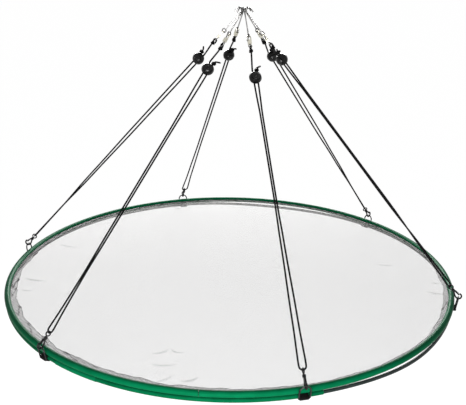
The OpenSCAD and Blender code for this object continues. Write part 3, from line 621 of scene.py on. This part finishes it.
def fold_at(x, y):
    """How folded the net is at a place, from 0 to 1, in the hoop's own frame."""
    most = 0.0
    for f1, a1, f2, a2, depth in FOLDS:
        p = np.array([f1 * cosd(a1), f1 * sind(a1)]) * NET_EDGE
        q = np.array([f2 * cosd(a2), f2 * sind(a2)]) * NET_EDGE
        d = q - p
        length = float(np.hypot(*d))
        t = ((x - p[0]) * d[0] + (y - p[1]) * d[1]) / length ** 2
        bow = FOLD_BOW * math.sin(math.pi * min(1, max(0, t)))
        off = abs(((x - p[0]) * d[1] - (y - p[1]) * d[0]) / length - bow)
        if 0 < t < 1 and off < FOLD_HALF:
            most = max(most, depth * math.sin(math.pi * t) * (1 - off / FOLD_HALF))
    return most


def shade(mesh, values):
    """Gives each point of a mesh its fold value, which the net's materials read to darken it, as painted
    shade in folds and bunches, and to close the holes.
    """
    mesh.attributes.new("fold_shade", "FLOAT", "POINT").data.foreach_set("value", np.array(values, np.float32))


def make_net():
    points, faces, folds = [on_hoop(0, 0, net_height(0, 0))], [], [0.0]
    for f in NET_RADII:
        r = NET_EDGE * f
        for k in range(NET_SECTORS):
            a = 360 * k / NET_SECTORS
            folds.append(fold_at(r * cosd(a), r * sind(a)) if f > FOLD_FROM else 0.0)
            points.append(on_hoop(r, a, net_height(f, a) + FOLD_H * folds[-1]))
    for k in range(NET_SECTORS):
        faces.append((0, 1 + k, 1 + (k + 1) % NET_SECTORS))
    for j in range(len(NET_RADII) - 1):
        a, b = 1 + j * NET_SECTORS, 1 + (j + 1) * NET_SECTORS
        for k in range(NET_SECTORS):
            k2 = (k + 1) % NET_SECTORS
            faces.append((a + k, b + k, b + k2, a + k2))
    mesh = bpy.data.meshes.new("net")
    mesh.from_pydata([tuple(p) for p in points], [], faces)
    mesh.polygons.foreach_set("use_smooth", [True] * len(faces))
    # The fold values also give painted shade along the net's folds
    shade(mesh, folds)
    o = new_object("stretched_net", mesh, NET)
    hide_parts("net")
    return o


net = make_net()

# ---- Hem of the net ----

HEM_SECTORS, HEM_ACROSS = 2160, 8
HEM_WIDTH_WAVES = [(0.12, 23, 0), (0.1, 37, 50)]
HEM_JAG_WAVES = [(0.5, 113, 0), (0.35, 173, 20)]
HEM_RISE_BASE, HEM_RISE_WAVES = 0.5, [(0.3, 29, 0), (0.2, 47, 30)]
HEM_CURL, CRUMPLE_H = 1.5, 0.45
# Behind the front of the rim the loose edge stands up: about this bearing, and by this height
FRONT_AT, FRONT_H = 262, 1.9
# Painted shade where the hem is bunched: bearing, half-width, and how dark
BUNCH_PAINTED_SHADE = [(152, 1.2, 0.5), (167, 1.6, 0.7), (176, 1, 0.5), (188, 1.8, 0.9), (193, 1.2, 0.7), (204, 1.6, 0.6),
           (214, 1.2, 0.6), (222, 1, 0.5), (232, 1.4, 0.7), (241, 1, 0.5), (342, 1.4, 0.6), (5, 1.2, 0.6)]
BUNCH_WANDER, BUNCH_WANDER_TURN = 2, 400
EDGE_R, EDGE_LIFT, EDGE_SIDES = 0.3, 0.2, 6
EDGE_DARK, EDGE_DARK_LEAST = 0.9, 0.1


def hem_share(a):
    return float(np.interp(a % 360, *zip(*HEM_SHARES)))


def hem_width(a):
    return HEM_W * hem_share(a) * waves(a, HEM_WIDTH_WAVES, 1)


def hem_rise(a):
    return HEM_RUFFLE * hem_share(a) * waves(a, HEM_RISE_WAVES, HEM_RISE_BASE) ** 2


def crumples(a, t):
    """Small crumples of the hem, growing from the rim to its loose edge."""
    parts = [(cosd(17 * a), 61, 40), (0.6, 97, 130 * t), (0.5, 151, -90 * t)]
    return CRUMPLE_H * hem_share(a) * t * waves(a, parts)


def front_stand(a):
    """How far the hem's loose edge stands up behind the front of the rim."""
    front = max(0, cosd(a - FRONT_AT)) ** 3
    return front * waves(a, [(0.8 * cosd(31 * a), 9, 50), (0.5, 83, 20)], FRONT_H)


def hem_place(a, t, lift=0.0):
    """A place on the hem, from the rim (t 0) to its loose edge (t 1)."""
    outer = NET_EDGE
    inner = HOOP_R - COVER_R - hem_width(a) + hem_share(a) * waves(a, HEM_JAG_WAVES)
    rise = hem_rise(a) * t ** HEM_CURL + crumples(a, t) + CRUMPLE_H * hem_share(a) * t
    rise += front_stand(a) * t
    return on_hoop(outer + (inner - outer) * t, a, HEM_Z + rise + lift)


def bunch_shade(a):
    """How dark the painted shade of the hem's bunches is at a bearing, from 0 to 1."""
    most = 0.0
    for at, half, dark in BUNCH_PAINTED_SHADE:
        off = abs((a - at + 180) % 360 - 180) / half
        if off < 1:
            most = max(most, dark * cosd(90 * off) ** 2)
    return most


def edge_dark(a):
    """The hem's loose edge: dark at the left, and a pale line with dark ticks elsewhere, and darker by the
    bunches' painted shade.
    """
    ticks = max(0, cosd(43 * a) * cosd(71 * a + 30)) ** 2
    return max(EDGE_DARK * min(1, hem_share(a) ** 2 + EDGE_DARK_LEAST), ticks, bunch_shade(a))


def make_hem():
    bearings = [360 * k / HEM_SECTORS for k in range(HEM_SECTORS)]
    rings = []
    for a in bearings:
        low = [hem_place(a, j / HEM_ACROSS) for j in range(HEM_ACROSS, -1, -1)]
        rings.append(low + [hem_place(a, j / HEM_ACROSS, HEM_T) for j in range(HEM_ACROSS + 1)])
    o = new_object("ruffled_hem", skin_mesh("ruffled_hem", rings, closed=True), HEM)
    # From 1 at the loose edge to 0 at the rim and back, round each ring; the bunches' painted shade is half
    # as dark at the rim
    outward = np.abs(np.linspace(-1, 1, 2 * HEM_ACROSS + 2))
    shade(o.data, [bunch_shade(a + BUNCH_WANDER * cosd(BUNCH_WANDER_TURN * t)) * (0.5 + 0.5 * t)
                   for a in bearings for t in outward])
    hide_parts("net_hem")
    edge = [hem_place(a, 1, EDGE_LIFT) for a in bearings]
    e = new_object("hem_edge", tube_mesh("hem_edge", edge, EDGE_R * MM, EDGE_SIDES, closed=True), HEM_EDGE)
    shade(e.data, [edge_dark(a) for a in bearings for _ in range(EDGE_SIDES)])
    return [o, e]


hem = make_hem()

# ---- Webbing tabs: one strip each, from over the lower hoop, round the ring's bar, back under the lower
# hoop, through the slit, round the rim's rod, and back along itself to the ring ----

LAYER, WEB_CORNER_R = WEB_T - SNUG, 0.28
# In a tab's own section, x outwards from the rim's rod and y upwards: the line from the rod to the slit,
# the shares of it that the strip passes, and the turns that it makes round the rod
TO_ROD, TO_SLIT, SLIT_SHARES, ROD_TURN = (-1.9, -1.2), (-5, -3.4), (0.72, 0.9), (150, -80)
# Where its doubled part meets the lower hoop, how far short of the ring's bar that part ends, and how far
# the strip goes on round the bar
HOOP_TURN_FROM, BAR_SHORT, BAR_TURN_PAST = 176, 4, 15
DOUBLED_STEP, TAB_STEP = 0.6, 0.5
# Stitches: bearings of their rows round the lower hoop, how far out from the doubled strip's middle, places
# across the webbing, half a stitch's length, and the thread's radius and sides
STITCH_ROWS, STITCH_OUT = (186, 198, 262, 274), 1
STITCHES_AT, STITCH_HALF, STITCH_R, STITCH_SIDES = (-5, -2.5, 0, 2.5, 5), 0.8, 0.2, 6


def arc(centre, r, first, last, step=12):
    count = max(2, round(abs(last - first) / step) + 1)
    return [Vector(centre) + r * Vector((cosd(a), sind(a))) for a in np.linspace(first, last, count)]


def normals(points):
    """The direction square to a flat line at each of its points."""
    lines = [(b - a).normalized() for a, b in zip(points[:1] + points[:-1], points[1:] + points[-1:])]
    return [Vector((-t.y, t.x)) for t in lines]


def shifted(points, off):
    """A flat line of points, moved square to itself."""
    return [p + off * normal for p, normal in zip(points, normals(points))]


def tab_wrap(bearing):
    """How far a tab's doubled part lies from the lower hoop's middle."""
    return (SLEEVE_R if SLEEVED[0] < bearing % 360 < SLEEVED[1] else ROD_R) + SNUG + WEB_T


def tab_line(k):
    """The strip's middle in its section."""
    bearing = TAB_ANGLES[k]
    low, bar = Vector((0, lower_at(bearing))), Vector((BAR_OUT, BAR_Z))
    wrap = tab_wrap(bearing)
    hug, bar_hug = wrap - WEB_T / 2, RING_WIRE_R + SNUG + WEB_T / 2
    to_bar = bar - low
    bar_at = math.degrees(math.atan2(to_bar.y, to_bar.x))
    leave = bar_at - math.degrees(math.acos(wrap / to_bar.length)) + 360
    over = bar_at + math.degrees(math.acos((hug - bar_hug) / to_bar.length))
    run = Vector((cosd(leave + 90), sind(leave + 90)))
    doubled = [Vector(TO_SLIT) * f + Vector(TO_ROD) * (1 - f) for f in SLIT_SHARES]
    doubled += arc(low, wrap, HOOP_TURN_FROM, leave, step=8) + [bar - BAR_SHORT * run]
    doubled = smoothed(doubled, DOUBLED_STEP)
    outer, inner = shifted(doubled, -WEB_T / 2), shifted(doubled, WEB_T / 2)
    top = [low + hug * Vector((cosd(over), sind(over)))]
    round_bar = arc(bar, bar_hug, over, leave - 360 + BAR_TURN_PAST)
    round_rod = arc((0, 0), RIM_ROD_R + SNUG + WEB_T / 2, *ROD_TURN)
    return top + round_bar + outer[::-1] + round_rod + inner


def tab_place(k, p, across=0.0):
    """A place in a tab's own section, moved across the webbing."""
    a = TAB_ANGLES[k]
    return on_hoop(HOOP_R + p.x, a, p.y) + Vector((-sind(a), cosd(a), 0)) * across * MM


def web_section():
    """The outline of one layer of webbing, across it and through it, with rounded corners."""
    wide, thick = WEB_W / 2 - WEB_CORNER_R, LAYER / 2 - WEB_CORNER_R
    out = []
    for sx, sz, first in ((1, 1, 0), (-1, 1, 90), (-1, -1, 180), (1, -1, 270)):
        out += [(sx * wide + WEB_CORNER_R * cosd(first + t), sz * thick + WEB_CORNER_R * sind(first + t))
                for t in (0, 45, 90)]
    return out


def make_tab(k):
    line, section = smoothed(tab_line(k), TAB_STEP), web_section()
    rings = [[tab_place(k, p + z * normal, x) for x, z in section] for p, normal in zip(line, normals(line))]
    name = f"webbing_tab_{k + 1}"
    o = new_object(name, skin_mesh(name, rings, across=[x * MM for x, _ in section]), WEBBING)
    return o


def join(name, meshes, mat):
    """One object from several meshes."""
    verts, faces = [], []
    for mesh in meshes:
        base = len(verts)
        verts += [tuple(v.co) for v in mesh.vertices]
        faces += [tuple(base + i for i in f.vertices) for f in mesh.polygons]
        bpy.data.meshes.remove(mesh)
    mesh = bpy.data.meshes.new(name)
    mesh.from_pydata(verts, [], faces)
    mesh.polygons.foreach_set("use_smooth", [True] * len(faces))
    o = new_object(name, mesh, mat)


def make_stitches(k):
    """Rows of stitches through the doubled webbing, beside the lower hoop on the inside and under it."""
    low, out = Vector((0, lower_at(TAB_ANGLES[k]))), tab_wrap(TAB_ANGLES[k]) + STITCH_OUT
    meshes = []
    for bearing in STITCH_ROWS:
        p = low + out * Vector((cosd(bearing), sind(bearing)))
        for x in STITCHES_AT:
            ends = [tab_place(k, p, x + off) for off in (-STITCH_HALF, 0, STITCH_HALF)]
            meshes.append(tube_mesh("stitch", ends, STITCH_R * MM, STITCH_SIDES, round_ends=True))
    return meshes


tabs = [make_tab(strand.k) for strand in STRANDS]
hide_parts("webbing_tabs")
join("tab_stitches", [m for strand in STRANDS for m in make_stitches(strand.k)], THREAD)

# ---- Cords and knots ----

CORD_STEP, CORD_SIDES = 0.003, 12
# A knot's wraps: half their length along the cord, how far round they go, and in how many steps
WRAPS_HALF, WRAPS_TURN, WRAPS_STEPS = 1.7, 900, 30
# Its last part, back across the wraps: how far back, how far round, how far it bulges, how fast the bulge
# comes and goes, and its steps
CROSS_BACK, CROSS_TURN, CROSS_BULGE, CROSS_PACE, CROSS_STEPS = 3.9, 250, 1.1, 1.3, 9
# Radius of a knot's turns
UPPER_KNOT_BAR, STOPPER_KNOT_BAR = 0.85, 1.05

for strand in STRANDS:
    number = strand.number
    line = smoothed(strand.place(cord_path(strand)), CORD_STEP)
    name = f"braided_cord_{number}"
    o = new_object(name, tube_mesh(name, line, CORD_R * MM, CORD_SIDES, round_ends=True), CORD)
    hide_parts(f"cord_{number}")


def knot_line(strand, x, y, z, turn, bar):
    """Two and a half wraps round the cord, and then part of one back across them."""
    r = CORD_R + bar + SNUG
    points = []
    for j in range(WRAPS_STEPS + 1):
        t = j / WRAPS_STEPS
        a = turn + WRAPS_TURN * t
        points.append((x - WRAPS_HALF + 2 * WRAPS_HALF * t, y + r * cosd(a), z + r * sind(a)))
    for j in range(1, CROSS_STEPS + 1):
        t = j / CROSS_STEPS
        a = turn + WRAPS_TURN + CROSS_TURN * t
        s = r + CROSS_BULGE * math.sin(math.pi * min(1, CROSS_PACE * t))
        points.append((x + WRAPS_HALF - CROSS_BACK * t, y + s * cosd(a), z + s * sind(a)))
    return strand.place(points)


for strand in STRANDS:
    k, turn = strand.k, strand.turn
    stop = beside(LOCK_AT[k] - STOPPER_AT, TAIL_SIDE[k] * STOPPER_OUT, turn)
    for label, centre, start, bar in (("upper", (KNOT_AT, 0, 0), 0, UPPER_KNOT_BAR),
                                      ("stopper", stop, turn, STOPPER_KNOT_BAR)):
        name = f"{label}_knot_{strand.number}"
        line = knot_line(strand, *centre, start, bar)
        o = new_object(name, tube_mesh(name, line, bar * MM, CORD_SIDES, round_ends=True), CORD)
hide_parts("cord_knots")

# ---- Lock springs ----

SPRING_FLOOR, BUTTON_FLOOR, BUTTON_TRAVEL = -7.35, -2.8, 2.4
SPRING_TURNS, SPRING_TURN_STEPS, SPRING_R, SPRING_WIRE_R, SPRING_SIDES = 3, 24, 3.5, 0.26, 8


def make_lock_spring(strand):
    number, turn = strand.number, strand.turn
    outward = strand.at(0, -sind(turn), cosd(turn)).normalized()

    def inside_lock(x, y, z):
        across, through = y * cosd(turn) - z * sind(turn), y * sind(turn) + z * cosd(turn)
        return strand.at(LOCK_AT[strand.k] + x, across, through)

    low, high = SPRING_FLOOR + SPRING_WIRE_R, BUTTON_FLOOR - SPRING_WIRE_R
    steps = SPRING_TURN_STEPS * SPRING_TURNS
    line = []
    for j in range(steps + 1):
        a = 360 * SPRING_TURNS * j / steps
        line.append(inside_lock(SPRING_R * cosd(a), SPRING_R * sind(a), low + (high - low) * j / steps))
    name = f"coil_spring_{number}"
    mesh = tube_mesh(name, line, SPRING_WIRE_R * MM, SPRING_SIDES, round_ends=True)
    o = new_object(name, mesh, SPRING, f"cord_lock_{number}")
    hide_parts(f"lock_spring_{number}")
    tuple(inside_lock(0, 0, SPRING_FLOOR))
    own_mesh(o)


for strand in STRANDS:
    make_lock_spring(strand)

# ---- Floor, light and background ----

FLOOR_HALF, FLOOR_Z, FLOOR_TONE, FLOOR_ROUGH, FLOOR_GLOW = 14, -1.5, 0.15, 0.9, 0.98
WORLD_STRENGTH = 0.1
# Each lamp's name, place, the place that it shines at, width, height and power
LAMPS = [
    ("key", (-0.1, -1.2, -0.5), (0, 0, -0.47), 0.9, 0.25, 25),
    ("fill", (1.4, -0.9, 0.2), (0.1, -0.1, -0.45), 1.0, 1.0, 2),
    ("back", (0.0, 1.35, 0.12), (0, 0.4, -0.47), 1.0, 0.4, 44),
]


def seen_directly(nodes, links):
    """1 for what the camera, a reflection or glass sees, and 0 for light that falls on things."""
    path = nodes.new("ShaderNodeLightPath")
    two = maths(nodes, links, "MAXIMUM", path.outputs["Is Camera Ray"], path.outputs["Is Transmission Ray"])
    return maths(nodes, links, "MAXIMUM", two, path.outputs["Is Glossy Ray"])


def white_stage():
    """A floor that keeps the object's shadow and glows where it is seen, so that it shows white."""
    mesh = bpy.data.meshes.new("floor")
    s, z = FLOOR_HALF, FLOOR_Z
    mesh.from_pydata([(-s, -s, z), (s, -s, z), (s, s, z), (-s, s, z)], [], [(0, 1, 2, 3)])
    floor = bpy.data.objects.new("floor", mesh)
    bpy.context.scene.collection.objects.link(floor)
    m, nodes, links, shader = material("pale_floor")
    shader.inputs["Base Color"].default_value = (FLOOR_TONE, FLOOR_TONE, FLOOR_TONE, 1)
    shader.inputs["Roughness"].default_value = FLOOR_ROUGH
    shader.inputs["Specular IOR Level"].default_value = 0.0
    glow = maths(nodes, links, "MULTIPLY", seen_directly(nodes, links), FLOOR_GLOW)
    links.new(glow, shader.inputs["Emission Strength"])
    shader.inputs["Emission Color"].default_value = (1, 1, 1, 1)
    mesh.materials.append(m)


def white_world():
    """White where it is seen, and WORLD_STRENGTH for the light that it gives."""
    world = bpy.data.worlds.new("world")
    bpy.context.scene.world = world
    world.use_nodes = True
    nodes, links = world.node_tree.nodes, world.node_tree.links
    back = nodes["Background"]
    back.inputs["Color"].default_value = (1, 1, 1, 1)
    extra = maths(nodes, links, "MULTIPLY", seen_directly(nodes, links), 1 - WORLD_STRENGTH)
    links.new(maths(nodes, links, "ADD", extra, WORLD_STRENGTH), back.inputs["Strength"])


def area_light(name, place, target, width, height, power):
    data = bpy.data.lights.new(name, "AREA")
    data.shape = "RECTANGLE"
    data.size, data.size_y = width, height
    data.energy = power
    o = bpy.data.objects.new(name, data)
    bpy.context.scene.collection.objects.link(o)
    o.location = place
    o.rotation_mode = "QUATERNION"
    o.rotation_quaternion = (Vector(target) - Vector(place)).to_track_quat("-Z", "Y")


white_stage()
white_world()
for lamp in LAMPS:
    area_light(*lamp)

bpy.context.scene.view_settings.view_transform = "Standard"
